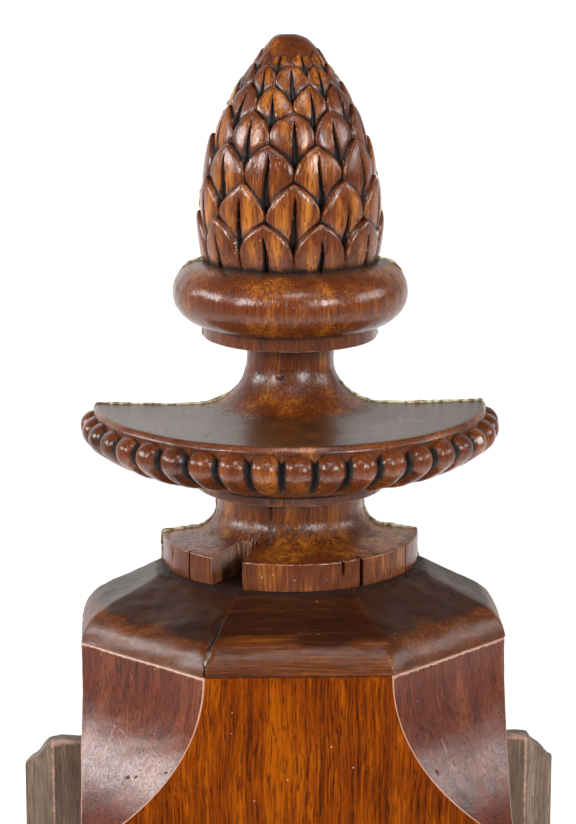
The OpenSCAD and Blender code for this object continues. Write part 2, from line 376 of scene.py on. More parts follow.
    mottle = grain(tree, place, 3.0, 5.0, 4.0, 6.3)
    rough = gloss - 0.5 * (0.2 + 0.2)
    for part, weight in ((mottle, 0.2), (fibres, 0.2), (marks["grime"], 0.4), (marks["bare"], 0.5),
                         (gap, 0.5)):
        rough = add(tree, "Math", (part, weight, rough), operation="MULTIPLY_ADD")
    rough = add(tree, "Clamp", (rough, 0.14, 0.95))
    height = 0.0
    for part, weight in ((fibres, 0.4), (mottle, 0.25), (spots, 0.12), (pore, -0.5), (gap, -2.5)):
        height = add(tree, "Math", (part, weight, height), operation="MULTIPLY_ADD")
    bump = add(tree, "Bump", {"Strength": relief, "Distance": bump_depth, "Height": height})
    tree.links.new(colour.outputs[2], shader.inputs["Base Color"])
    tree.links.new(rough.outputs[0], shader.inputs["Roughness"])
    tree.links.new(bump.outputs[0], shader.inputs["Normal"])
    shader.inputs["IOR"].default_value = varnish_index
    shader.inputs["Specular IOR Level"].default_value = shine
    shader.inputs["Coat Weight"].default_value = coat
    shader.inputs["Coat Roughness"].default_value = 0.14
    print(name, len(tree.nodes), "nodes")
    return material


print("finish ready")

# %% [markdown]
# ## The finial's turned body
# A turner works to a profile: half an outline, spun round the axis. The profile here is a list of
# corners and arcs, and every sharp corner is eased a little, as wear has done. Marks for dirt, painted
# shade and wear follow from the profile itself: an inner corner is painted dark for dirt and shade,
# and an outer one is rubbed.
# A Screw modifier would spin it too, but a grid of points can then be broken, split and worn.

# %% Profile of the turned body
disc_h = 13.0
neck_r = 35.0
disc_r = neck_r + 26.2
neck_round = 12.0
neck_foot = disc_h + 2.2
fillet_r = neck_r + 10.0
fillet_z = 35.9
fillet_h = 4.3
dish_r = 91.6
dish_z = 76.2
stem_r = 20.5
stem_round = (24.0, 22.0)
ring_z = 108.6
ring_h = 6.4
cone_r = 44.0
torus_round = 15.2
torus_in = cone_r + 11.4 - torus_round
torus_z = ring_z + ring_h + torus_round
ring_r = torus_in + 1.2
head_round = 7.3
head_in = dish_r + 0.7
head_z = dish_z - 10.5


def arc(centre, radii, first, last, steps):
    """Points of an arc, from one angle to another in degrees."""
    a = np.radians(np.linspace(first, last, steps))
    return np.stack([centre[0] + radii[0] * np.cos(a), centre[1] + radii[1] * np.sin(a)], -1)


def eased(points, radius, spacing):
    """The outline with its corners rounded off and points at an even spacing along it."""
    out = [points[0]]
    for before, here, after in zip(points[:-2], points[1:-1], points[2:]):
        a, b = before - here, after - here
        turn = abs(math.remainder(math.atan2(b[1], b[0]) - math.atan2(a[1], a[0]) - math.pi, 2 * math.pi))
        if turn < 0.35:
            out.append(here)
            continue
        cut_a, cut_b = [min(radius / np.linalg.norm(way), 0.45) for way in (a, b)]
        for t in (0, 0.33, 0.67, 1):
            curve = (1 - t) ** 2 * (here + a * cut_a) + 2 * t * (1 - t) * here + t * t * (here + b * cut_b)
            out.append(curve)
    out.append(points[-1])
    out = np.array(out)
    extra = [out[0]]
    for p, q in zip(out[:-1], out[1:]):
        parts = max(1, int(np.linalg.norm(q - p) / spacing))
        extra += [p + (q - p) * (k + 1) / parts for k in range(parts)]
    return np.array(extra)


body_profile = eased(np.concatenate([
    [[disc_r, 0], [disc_r, disc_h]],
    arc((neck_r + neck_round, neck_foot + neck_round), (neck_round, neck_round), 270, 180, 9),
    [[neck_r, fillet_z], [fillet_r, fillet_z], [fillet_r, fillet_z + fillet_h]],
    [[dish_r - 13, dish_z - 22.5], [dish_r + 1, head_z - 1], [dish_r + 1.6, dish_z - 2.6], [dish_r, dish_z]],
    [[dish_r - 34, dish_z - 0.9]],
    arc((stem_r + stem_round[0], dish_z - 0.6 + stem_round[1]), stem_round, 262, 180, 11),
    [[stem_r, ring_z], [ring_r, ring_z], [ring_r, ring_z + ring_h]],
    arc((torus_in, torus_z), (torus_round, torus_round), -84, 90, 22),
]), 0.7, 3.2)
print("profile", len(body_profile), "points")

# %% [markdown]
# The body's columns are close together where the base disc is broken, so that the broken faces
# stand up straight, and about a degree apart elsewhere. The break is a wedge between two angles:
# there the disc ends at an inner wall of torn fibres. Cracks are narrow grooves in the rim.

# %% Turned body with its broken base disc
break_left = -38.6
break_right = -23.7
break_inner = -23.4
no_wall = 999.0
wall_at = [-40.0, -36.0, -30.0, -23.0]
wall_r = [44.5, 41.8, 40.0, 38.2]
undercut_depth = 4.5
crack_depth = 0.9
# Each crack: angle, half width in degrees, depth in mm, lowest and highest place on the rim in mm.
rim_cracks = [
    (21.5, 0.8, 1.4, 7.5, 20), (26.5, 2.0, 0.9, 11.6, 20), (30.6, 1.0, 5.0, -1, 20),
    (36.0, 2.6, 0.5, 3, 10), (61.0, 0.45, 2.2, -1, 20), (-52.4, 0.5, 2.0, -1, 20),
    (-66.0, 1.6, 0.6, 5, 12),
]

columns = list(np.linspace(-90, 90, 127)) + list(np.linspace(break_left - 1.2, break_inner + 1.2, 60))
for angle, wide, *_ in rim_cracks:
    columns += [angle - wide, angle - wide * 0.8, angle, angle + wide * 0.8, angle + wide]
columns = np.unique(np.round(columns, 2))
turn_at = np.radians(columns)[None, :]
r = np.repeat(body_profile[:, :1], len(columns), axis=1)
z = np.repeat(body_profile[:, 1:], len(columns), axis=1)
on_disc = z < neck_foot + neck_round

inside = np.interp(columns, wall_at, wall_r)[None, :]
span = np.clip((columns - break_inner) / (break_right - break_inner), 0, 1)[None, :]
inside = np.where(columns > break_right, inside + (disc_r + 2 - inside) * (1 - span), inside)
outside_break = (columns < break_left) | (columns > break_inner)
splinter = np.stack([columns * 0.9, columns * 0, columns * 0], -1)
fibre_wall = 0.9 * ripple(splinter, 3.0, 5) + 0.5 * ripple(splinter, 1.1, 6)
wall = inside + fibre_wall[None, :] + 0.06 * (z - 6) * ripple(splinter, 2.0, 8)[None, :]
undercut = (ramp(-38.6, -37.4, columns) * ramp(-28, -34, columns))[None, :] * ramp(8.5, 5.5, z)
wall = wall - undercut_depth * undercut * (columns < break_right)[None, :]
wall = np.where(outside_break, no_wall, wall)
torn = (on_disc & (r > wall)).astype(float)
r = np.where(torn > 0, wall, r)

crack_mark = np.zeros_like(r)
for angle, wide, deep, low, high in rim_cracks:
    near = np.clip(1 - np.abs(columns - angle) / wide, 0, 1)[None, :] ** 0.5
    there = near * (z > low) * (z < high) * (r > disc_r - 2.5) * on_disc * (1 - torn)
    r = r - deep * there
    crack_mark = np.maximum(crack_mark, there * (deep > 1))

# A crack runs up the lower neck, and its line wanders a little.
wander = -16.8 + 0.6 * np.sin(z * 0.35) + 0.3 * np.sin(z * 0.9)
on_neck = (z > neck_foot + 0.2) * (z < fillet_z + 3)
split = np.clip(1 - np.abs(columns[None, :] - wander) / 0.9, 0, 1) * on_neck
r = r - crack_depth * split
crack_mark = np.maximum(crack_mark, split)

points = np.stack([r * np.sin(turn_at), -r * np.cos(turn_at), z], -1)
points += (0.25 * ripple(points, 45, 11) + 0.08 * ripple(points, 9, 12))[..., None] * np.stack(
    [np.sin(turn_at) + 0 * r, -np.cos(turn_at) + 0 * r, 0 * r], -1)
close_back(points)

steps = np.diff(body_profile, axis=0)
heading = np.unwrap(np.arctan2(steps[:, 1], steps[:, 0]))
bend = np.zeros(len(body_profile))
bend[1:-1] = np.diff(heading)
weights = np.exp(-np.linspace(-2, 2, 5) ** 2)
inner = np.convolve(np.clip(-bend, 0, 1), weights, "same")
outer = np.convolve(np.clip(bend, 0, 1), weights[1:4], "same")
uphill = np.append(np.cos(heading), 0)
lies_flat = ramp(0.9, 0.99, -uphill) * (body_profile[:, 0] > stem_r + 8)
# Inner corners are painted dark for dirt and shade, and flat tops get a little dirt, except the dish floor,
# which has its own zone.
grime = np.clip(inner * 0.8, 0, 1)[:, None] + 0 * r
on_dish = lies_flat * (body_profile[:, 1] > dish_z - 3)
grime = np.maximum(grime, 0.2 * (lies_flat - on_dish)[:, None])
wear = np.clip(outer * np.where(body_profile[:, 0] > dish_r - 1, 0.2, 0.55), 0, 0.6)[:, None] + 0 * r
# The rim's face under the dish's lip is painted darker, for dirt and for shade.
dirt_and_shade_under_rim = np.exp(-np.abs(body_profile[:, 1] - dish_z + 4) / 2.0) * (body_profile[:, 0] > dish_r)
grime = np.maximum(grime, 0.42 * dirt_and_shade_under_rim[:, None])
split_edge = 0.2 * (np.abs(columns - break_left + 0.25) < 0.3)[None, :] * ramp(4, 6, z) * on_disc
# The lower neck is painted lighter: partly its redder wood, partly painted light where the dish would shade
# it.
tone_with_painted_neck_light = plain_tone + 0.3 * (z < fillet_z) * (r < disc_r - 3) * (1 - torn)
# In the break, the undercut foot of the wall is painted nearly black as shade, and the rest shows bare torn
# wood.
body_grid = half_grid(points, grime=np.where(torn > 0, 0.9 * undercut, grime), wear=wear * (1 - torn),
                      bare=torn * (1 - undercut), crack=crack_mark, filler=split_edge,
                      flat=on_dish[:, None] + 0 * r, tone=tone_with_painted_neck_light)
print("turned body", points.shape)

# %% [markdown]
# ## Gadroons
# Gadroons are the row of convex lobes under the rim of the dish. Each has a round head at the top
# and tapers as it runs in under the belly. The band is a closed section, swept round the axis, and
# pressed in between the lobes. Its columns crowd together in the grooves, where the form is sharp.
# Copies of one lobe would be quicker, but they would cut into each other and be all alike.

# %% Band of gadroons
gadroons = 40
pitch = 360 / gadroons
belly_round = 45.0
head_turn = 150.0
belly_angle = -48.0
tail_angle = -75.0
tail_slope = math.tan(math.radians(15))
belly_centre = (head_in - (belly_round - head_round) * math.cos(math.radians(belly_angle)),
                head_z - (belly_round - head_round) * math.sin(math.radians(belly_angle)))
tail_r = fillet_r + 1.5
head_side = arc((head_in, head_z), (head_round, head_round), head_turn, belly_angle, 17)
belly_side = arc(belly_centre, (belly_round, belly_round), belly_angle, tail_angle, 10)[1:]
tail_x = np.linspace(belly_side[-1, 0], tail_r, 9)[1:]
tail_side = np.stack([tail_x, belly_side[-1, 1] - (belly_side[-1, 0] - tail_x) * tail_slope], -1)
side = np.concatenate([head_side, belly_side, tail_side])
facing_up = np.concatenate([np.linspace(head_turn, belly_angle, 17),
                            np.linspace(belly_angle, tail_angle, 10)[1:], np.full(8, tail_angle)])
facing = np.radians(facing_up)

cuts = 16
even = np.linspace(-1, 1, cuts + 1)[:-1]
across = np.sin(even * math.pi / 2) * 0.35 + even * 0.65
lobe_count = gadroons // 2 + 1
lobe_of = np.repeat(np.arange(lobe_count), cuts)
lobe_x = np.tile(across, lobe_count)
lobe_turn = (lobe_of + lobe_x / 2) * pitch - 90
in_front = np.abs(lobe_turn) < 90.001
lobe_of, lobe_x, lobe_turn = lobe_of[in_front], lobe_x[in_front], lobe_turn[in_front]
lobe_draw = np.random.default_rng(21)
lobe_swell = lobe_draw.uniform(-0.35, 0.2, lobe_count)[lobe_of]
lobe_tone = lobe_draw.uniform(0.15, 0.75, lobe_count)[lobe_of]

half_pitch = side[:, 0] * math.radians(pitch / 2)
x = np.clip(np.abs(lobe_x) * 1.01, 0, 1)[:, None]
hollow = half_pitch[None, :] * (1 - np.sqrt(np.clip(1 - x ** 2.6, 0, 1)))
deepest = (0.66 * half_pitch)[None, :]
press = deepest * np.tanh(hollow / deepest)
taper = ramp(tail_r - 1, tail_r + 4, side[:, 0])[None, :]
press = press * (0.35 + 0.65 * taper) - lobe_swell[:, None] * (1 - x) * taper
lobe_r = side[None, :, 0] - press * np.cos(facing)[None, :]
lobe_z = side[None, :, 1] - press * np.sin(facing)[None, :]
around = np.radians(lobe_turn)[:, None]
lobes = np.stack([lobe_r * np.sin(around), -lobe_r * np.cos(around), lobe_z], -1)
core = np.array([[fillet_r + 6, dish_z - 22], [head_in - 12, head_z]])
core_points = np.stack([core[None, :, 0] * np.sin(around), -core[None, :, 0] * np.cos(around),
                        core[None, :, 1] + 0 * around], -1)
lobes = np.concatenate([lobes, core_points], axis=1)
lobes += (0.1 * ripple(lobes, 6, 31))[..., None]
close_back(lobes.transpose(1, 0, 2))

chip_at = np.array([86.4, -48.0, 68.2])
pad = [(0, 0), (0, len(core))]
chip_r = 2.2
# The upward tops of the heads are dirty, and the grooves between lobes are painted dark as shade.
lobe_dirt_and_shade = np.pad(np.maximum(ramp(0.66, 0.93, x), ramp(62, 110, facing_up)[None, :]), pad)
worn_face = ramp(-40, 10, facing_up) * (1 - ramp(50, 90, facing_up))
lobe_wear = np.pad(0.25 * (1 - ramp(0.1, 0.8, x)) * worn_face[None, :], pad)
chip = np.linalg.norm(lobes - chip_at, axis=-1) < chip_r
band = band_grid(lobes, grime=lobe_dirt_and_shade, filler=chip.astype(float), wear=lobe_wear,
                 tone=lobe_tone[:, None] + np.zeros(lobes.shape[:2]))
print("gadroons", lobes.shape)

# %% [markdown]
# ## The pine cone
# The cone's side is an arc that ends in a small round tip. Its scales stand in rows, each row
# turned half a scale from the last, and each a fixed share of the local radius higher, so that
# they shrink towards the tip. The lowest scale that covers a place lies in front. A scale slopes
# in towards its foot, rolls off at its edges and has a V cut up its middle, painted dark as shade.

# %% Side of the cone and its rows
cone_arc = 120.0
cone_belly = 18.0
arc_in = cone_arc - cone_r
cone_z = torus_z + torus_round - 0.2
belly_z = cone_z + cone_belly
tip_turn = 43.8
tip_r = cone_arc - arc_in / math.cos(math.radians(tip_turn))
tip_z = belly_z + arc_in * math.tan(math.radians(tip_turn))
foot_turn = -math.degrees(math.asin((cone_belly + 2) / cone_arc))
scales = 10
scale_rows = 7
scale_rise = 0.428
arch_power = 2.4


def cone_side(a):
    """Radius and height of the cone's side where it faces a degrees up."""
    w = np.radians(a)
    low = a < tip_turn
    radius = np.where(low, cone_arc * np.cos(w) - arc_in, tip_r * np.cos(w))
    return radius, np.where(low, belly_z + cone_arc * np.sin(w), tip_z + tip_r * np.sin(w))


tips = [2.5]
for _ in range(scale_rows):
    tips.append(tips[-1] + math.degrees(scale_rise * max(float(cone_side(tips[-1])[0]), 4) / cone_arc))
print("scale tips", [round(float(cone_side(t)[1]), 1) for t in tips])

# %% [markdown]
# The carving is a depth cut into that side. A sculpted mesh would need millions of triangles for
# such crisp edges. Here the grid's columns and rows are laid so that the outline of every scale runs
# through its points, which takes few.

# %% Carved skin of the cone
half_cuts = 20
share = np.arange(half_cuts + 1) / half_cuts
crowd = share - 0.62 * np.sin(2 * math.pi * share) / (2 * math.pi)
scale_pitch = 360 / scales
column_turn = np.concatenate([(k + crowd[:-1]) * scale_pitch / 2 for k in range(scales)] + [[180]]) - 90
ring_cuts = (1 - crowd[:0:-1]) ** (1 / arch_power)
ring_cuts = np.sort(np.append(ring_cuts, 0.04))
row_ends = np.concatenate([[tips[0] - (tips[1] - tips[0])], tips])
rings = [a + (b - a) * ring_cuts for a, b in zip(row_ends[:-1], row_ends[1:])]
row_turn = np.concatenate([[foot_turn], *rings])
row_turn = np.concatenate([row_turn[row_turn >= foot_turn], np.linspace(row_ends[-1], 88, 10)])
row_turn = np.unique(row_turn)

a = row_turn[:, None]
t = column_turn[None, :]
size = cone_side(a)[0] / cone_r
cone_draw = np.random.default_rng(4)
row_to_pitch = scale_rise / math.radians(scale_pitch / 2)
depth = 1.5 * size + 0 * t
cone_painted_shade = np.zeros_like(depth)
cone_wear = np.zeros_like(depth)
cone_tone = np.full_like(depth, plain_tone)
for row in range(scale_rows - 1, -1, -1):
    offset = scale_pitch / 2 if row % 2 == 0 else 0.0
    which = np.floor((t + offset + scale_pitch / 2) / scale_pitch).astype(int)
    x = ((t + offset + scale_pitch / 2) / scale_pitch - which - 0.5) * 2
    d = (tips[row] - a) / (tips[row + 1] - tips[row])
    rise = np.maximum(1 - d, 0)
    wide = 1 - rise ** arch_power
    steep = np.sqrt(1 + (arch_power * rise ** (arch_power - 1) / row_to_pitch) ** 2)
    within = (wide - np.abs(x)) / steep
    here = (within >= -1e-6) & (d > -1e-6)
    tilt, lean, shade, high = cone_draw.uniform(-1, 1, (4, scales + 3))[:, which + 4]
    low = np.clip(d, 0, 2)
    slope = 0.45 * low + 0.62 * low ** 2 + 0.3 * tilt * x + 0.25 * shade * low
    roll = 1.1 * np.exp(-np.clip(within, 0, 9) / 0.075) + 0.7 * x ** 2
    start = 0.33 + 0.08 * high
    half_slit = 0.02 + 0.1 * np.clip((d - start) / 1.1, 0, 1.2)
    middle = 0.05 * lean * (d - start)
    open_slit = np.clip((d - start) / 0.2, 0, 1) * np.clip(1.35 - np.abs(x - middle) / half_slit, 0, 1)
    carved = size * (slope + roll + 3.0 * open_slit - 0.2)
    # A groove is cut round each scale of this row into the scales above, and it is painted dark as shade.
    groove = np.exp(np.clip(within, -9, 0) / 0.085)
    depth = np.where(here, carved, depth + 1.5 * size * groove)
    # The slit and the visible foot of each scale, between the tips of the row below, are painted dark as
    # shade.
    foot_shade = 0.6 * ramp(1.15, 1.9, low)
    cone_painted_shade = np.where(here, np.maximum(open_slit, foot_shade), np.maximum(cone_painted_shade, groove))
    rim = np.exp(-((within - 0.07) / 0.04) ** 2) * ramp(1.2, 0.7, d)
    cone_wear = np.where(here, 0.5 * rim, cone_wear * (1 - groove))
    # Each half of a scale is painted lighter down its middle, as a painted highlight on its rounded face.
    painted_scale_highlight = np.exp(-((np.abs(x) - 0.36) / 0.22) ** 2) * ramp(0.15, 0.6, low) * ramp(1.7, 1.1, low)
    cone_tone = np.where(here, 0.4 + 0.32 * shade + 0.5 * painted_scale_highlight, cone_tone)

side_r, side_z = cone_side(a)
depth = depth * ramp(60, 46, a)
cone_r_at = side_r - depth * np.cos(np.radians(a))
cone_z_at = side_z - depth * np.sin(np.radians(a))
w = np.radians(t)
cone_points = np.stack([cone_r_at * np.sin(w), -cone_r_at * np.cos(w), cone_z_at + 0 * t], -1)
sideways = np.stack([np.cos(w) + 0 * a, np.sin(w) + 0 * a, 0 * a + 0 * t], -1)
calm = ramp(cone_z, cone_z + 8, cone_z_at + 0 * t)
cone_points += (0.75 * calm * ripple(cone_points, 26, 41))[..., None] * sideways
cone_points[..., 2] += 0.7 * calm * ripple(cone_points, 24, 42)
cone_points[:, 0, 1] = 0
cone_points[:, -1, 1] = 0
# The cone's foot, in the crease above the torus, is painted dark as shade.
cone_painted_shade = np.maximum(cone_painted_shade, 0.9 * ramp(cone_z + 2.5, cone_z + 0.5, cone_z_at))
cone_grid = half_grid(cone_points, grime=cone_painted_shade, wear=cone_wear, tone=cone_tone)
print("cone", cone_points.shape)

# %% [markdown]
# Body, gadroons and cone were cut from one block, so they are one piece with one finish. The floor
# of the dish is duller, and it has two cracks and some knots, whose places are in mm from the axis
# and from the cap's edge.

# %% Finial
dish_cracks = [((-57, -25.5, 104.4), (-48.8, -9, 104.4), 0.35),
               ((-42.4, -69.3, 104.6), (-23.4, -30.6, 105), 0.35)]
knots = [((5.9, -48.1, 104.4), 1.3), ((2, -45, 104.4), 0.8), ((-5, -20.5, 121), 1.6),
         ((-3.5, -20.5, 124), 1.4)]
finial_walnut = varnished_walnut(
    "varnished walnut, turned and carved", ("#31160a", "#683010", "#b36a22"), gloss=0.2, figure=0.65,
    fine=0.55, shine=0.42, coat=0.1, cracks=dish_cracks, dents=knots,
    zones=[("flat", ("#2c1b10", "#4e2f1a", "#6b4526"))])
build_piece("finial_carved", [body_grid, band, cone_grid], finial_lo[2], [finial_walnut], "finial")

# %% [markdown]
# ## Octagonal sections
# The cap and the head of the post share one plan: a square whose front corners are cut off at 45
# degrees. One function gives the front half of that plan for any distances of its faces from the
# axis, with rounded corners, so the cap can close in over its hips and the post can open out
# below its chamfers.

# %% Plan of cap and post
def plan(side_in, chamfer_in, rounding, face_cuts, corner_cuts=5):
    """Front half of an octagon with faces at those distances from the axis. Returns points and where
    each lies: the face's number from -2 to 2, and 1 on a rounded corner."""
    distance = [side_in, chamfer_in, side_in, chamfer_in, side_in]
    way = [np.array([math.sin(math.radians(45 * k)), -math.cos(math.radians(45 * k))]) for k in range(-2, 3)]
    centres = []
    for k in range(4):
        normals = np.array([way[k], way[k + 1]])
        centres.append(np.linalg.solve(normals, [distance[k] - rounding, distance[k + 1] - rounding]))
    points, faces, corner = [], [], []
    for k in range(5):
        start = np.array([-side_in, 0.0]) if k == 0 else centres[k - 1] + rounding * way[k]
        end = np.array([side_in, 0.0]) if k == 4 else centres[k] + rounding * way[k]
        for u in np.linspace(0, 1, face_cuts[k] + 1):
            points.append(start + (end - start) * u)
            faces.append(k - 2)
            corner.append(0.0)
        if k < 4:
            for u in np.linspace(0, 1, corner_cuts + 1)[1:-1]:
                angle = math.radians(45 * (k - 2 + u))
                points.append(centres[k] + rounding * np.array([math.sin(angle), -math.cos(angle)]))
                faces.append(k - 2 + u)
                corner.append(1 - abs(2 * u - 1) * 0.6)
    return np.array(points), np.array(faces), np.array(corner)


def outwards(faces, up):
    """Which way each point of such a plan faces, with a share that points up."""
    turn = np.radians(45 * faces)
    return np.stack([np.sin(turn), -np.cos(turn), up + 0 * turn], -1)


def stack(levels, face_cuts):
    """Plans at several heights as one grid: each level is (height, side, chamfer, rounding)."""
    rings = [plan(side_in, chamfer_in, rounding, face_cuts) for _, side_in, chamfer_in, rounding in levels]
    grid = np.stack([ring[0] for ring in rings])
    heights = np.array([level[0] for level in levels])[:, None] + 0 * grid[..., 0]
    faces = np.stack([ring[1] for ring in rings])
    corner = np.stack([ring[2] for ring in rings])
    return np.concatenate([grid, heights[..., None]], -1), faces, corner


print("plan points", len(plan(half_w, chamfer_r, 2.0, (8, 8, 8, 8, 8))[0]))

# %% [markdown]
# ## The cap
# The cap is an octagonal block hipped like a roof. Its lower edge is a steep rounded band, and
# above it the faces lie back at about 25 degrees. The mitre at the front left has opened, and the
# crack was filled with something pale. The block was glued up from planks, whose joints show as
# fine straight lines. A bevelled block would have the outline. Plans stacked at many heights also
# let the faces sag, the edge wear and the mitre open.

# %% Cap
cap_round = 18.0
cap_slope = math.radians(25.5)
turn_in = math.pi / 2 - cap_slope
first_turn = 0.12 * turn_in
levels = []
for u in np.linspace(0, 1, 16):
    angle = first_turn + (turn_in - first_turn) * u
    levels.append((cap_round * (math.sin(angle) - math.sin(first_turn)) + 1.2 * u,
                   cap_round * (math.cos(first_turn) - math.cos(angle))))
slope_z, slope_in = levels[-1]
reach = (cap_h - slope_z) / math.tan(cap_slope)
for u in np.linspace(0, 1, 18)[1:]:
    levels.append((slope_z + (cap_h - slope_z) * u, slope_in + reach * u))
levels.append((cap_h, slope_in + reach + 12))
levels = [(0.0, 0.7)] + [(0.6, 0.0)] + [(h, i) for h, i in levels if h > 1.0]
cap_levels = [(h, half_w - i, chamfer_r - i, 5.0 if h > 5 else 1.6) for h, i in levels]
cap_points, cap_face, cap_corner = stack(cap_levels, (14, 22, 34, 22, 14))
inset = np.array([i for _, i in levels])[:, None]
sag = 0.25 * ripple(cap_points, 40, 51) + 0.1 * ripple(cap_points, 8, 52)
edge_low = np.exp(-cap_points[..., 2] / 1.6)
sag = sag - 0.45 * edge_low * np.clip(ripple(cap_points, 5, 53), 0, 1)

# The mitre between the front and the left chamfer has opened.
mitre_width = 0.36
mitre_line = 0.12 * np.sin(cap_points[..., 2] * 0.9) - 0.5
mitre = np.clip(1 - np.abs(cap_face - mitre_line) / mitre_width, 0, 1)
mitre = mitre * ramp(27, 15, cap_points[..., 2])
cap_points += outwards(cap_face, 0.8) * (sag - 1.1 * mitre)[..., None]
close_back(cap_points)
cap_points[..., 2] = np.clip(cap_points[..., 2], 0, cap_h)

cap_wear = np.clip(cap_corner * 0.2 + edge_low * 0.35, 0, 1)
# The steep lower band gets lighter, more orange shades than the slopes: painted light where it faces the
# lamps.
cap_lit_band = ramp(15.5, 12.5, cap_points[..., 2] + 1.5 * ripple(cap_points, 25, 54))
fill = ramp(0.2, 0.6, ripple(cap_points, 3, 55)) * ramp(0.3, 0.7, mitre) * ramp(12, 6, cap_points[..., 2])
# The top of the cap next to the finial's foot is painted darker as the finial's shadow.
cap_shadow_under_finial = 0.35 * ramp(slope_in + reach - 7, slope_in + reach - 1, inset + 0 * cap_wear)
cap_grid = half_grid(cap_points, wear=cap_wear, band=cap_lit_band, crack=ramp(0.15, 0.6, mitre) * (1 - fill),
                     filler=fill, grime=cap_shadow_under_finial, tone=plain_tone + 0.5 * cap_corner)

# Each joint: its distance from the axis, where it starts and ends along X, half width and shade.
joints = [
    (-74.5, -66, -36, 0.25, "#9a7350"), (-74.5, -31, 22, 0.25, "#8f7a64"), (-74.5, 34, 42, 0.25, "#8f7a64"),
    (-44.6, 42, 99, 0.3, "#0d0705"), (-44.6, -99, -70, 0.2, "#1a0e08"),
]
cap_splits = [((74, -35, 22), (75.5, -41, 19), 0.5), ((-33.5, -73, 22.7), (-30, -68, 25), 0.5)]
cap_scratches = [((-5, -85, 17), (3, -87, 16), 0.3), ((58, -60, 18), (66, -66, 13), 0.3),
                 ((-70, -52, 18), (-60, -60, 18.6), 0.25)]
# The band zone is the painted light on the cap's steep lower edge.
cap_walnut = varnished_walnut(
    "varnished walnut, dark cap", ("#1a0b05", "#321608", "#4b260f"), gloss=0.36, figure=0.5, shine=0.36,
    relief=0.2, zones=[("band", ("#371806", "#582909", "#7a4312"))], lying=True, pores=0.35,
    seams=joints, cracks=cap_splits, scratches=cap_scratches)
build_piece("cap_hipped", [cap_grid], cap_lo[2], [cap_walnut], "cap", sharp=50)

# %% [markdown]
# ## The post
# The post is square, and its front corners are cut back at the top. Each chamfer runs out below
# in a cove: an arc that leaves the cap's edge upright and comes forward to the corner. The front
# is a bright orange brown, and the chamfers are redder and darker. A boolean could cut the coves,
# but its faces would be long slivers. Here the plan opens out level by level, in even rows.

# %% Post
stop_h = 82.0
chamfer_d = chamfer / math.sqrt(2)
cove_r = (chamfer_d ** 2 + stop_h ** 2) / (2 * chamfer_d)
corner_in = half_w * math.sqrt(2)
drops = np.concatenate([[0.0, 0.8, 2.0], np.arange(4, stop_h + 24, 2.0),
                        np.linspace(stop_h + 28, post_h, 26)])
post_levels = []
for drop in drops[::-1]:
    out = cove_r - math.sqrt(max(cove_r ** 2 - min(drop, stop_h) ** 2, 0))
    eased_in = 0.7 if drop == 0 else 0.0
    post_levels.append((post_h - drop, half_w - eased_in, min(chamfer_r + out, corner_in - 1.2) - eased_in,
                        1.5 if drop < stop_h - 4 else 0.6))
post_points, post_face, post_corner = stack(post_levels, (12, 20, 44, 20, 12))
post_sag = 0.22 * ripple(post_points, 60, 61) + 0.06 * ripple(post_points, 9, 62) - 0.28
top_edge = np.exp((post_points[..., 2] - post_h) / 1.2)
post_sag = post_sag - 0.4 * top_edge * np.clip(ripple(post_points, 5, 63), 0, 1)
post_points += outwards(post_face, 0) * post_sag[..., None]
close_back(post_points)
post_front = (np.abs(post_face) < 0.45).astype(float)
post_side = 0.2 + ramp(0.42, 0.5, np.abs(post_face))
post_wear = 1.1 * post_corner * ramp(post_h - 130, post_h - 80, post_points[..., 2]) + post_side * top_edge
post_blob = post_corner * ramp(post_h - 9, post_h - 1, post_points[..., 2]) * 1.2
post_wear = np.clip(post_wear + post_blob, 0, 1.4)
post_grid = half_grid(post_points, wear=post_wear, front=post_front,
                      tone=np.full_like(post_wear, plain_tone))

# Scratches and dents on the coves, as places in mm from the axis and from the cap's edge.
left_cuts = [((-84, -66, -33), (-91, -69, -49), 0.5), ((-84, -66, -33), (-75, -78, -38), 0.45),
             ((-82, -70, -36), (-80, -77, -47), 0.4), ((-75, -68, -1), (-76, -68, -12), 0.5),
             ((66, -85, -35), (69, -86, -41), 0.6), ((69, -88, -45), (72, -88, -49), 0.5)]
bruises = [((-78, -84.3, -52.3), 1.4), ((-74, -87.5, -51.2), 0.8), ((-60.5, -96.8, -45.2), 1.0),
           ((63.5, -95.6, -47.5), 1.6)]
post_walnut = varnished_walnut("varnished walnut, post", ("#33130a", "#602814", "#7b3f22"), gloss=0.3,
                               relief=0.22, scratches=left_cuts, dents=bruises)
# The front has been rubbed with oil, so it shows its colour best and has little gloss left.
rubbed_walnut = varnished_walnut("oiled walnut, post front", ("#421800", "#732f00", "#954900"), gloss=0.45,
                                 shine=0.05, figure=0.9, fine=1.3)
build_piece("post_chamfered", [post_grid], post_lo[2], [post_walnut, rubbed_walnut], "post",
            sharp=50)

# %% [markdown]
# ## The board behind
# A thin board backs the post and shows on both sides of it. Its long edges are bevelled, its upper
# corners are clipped, and its top was sawn and left rough. It is greyer and duller than the rest.
# A bevelled box has no points along its top to roughen, so the board is a grid with a plain back.

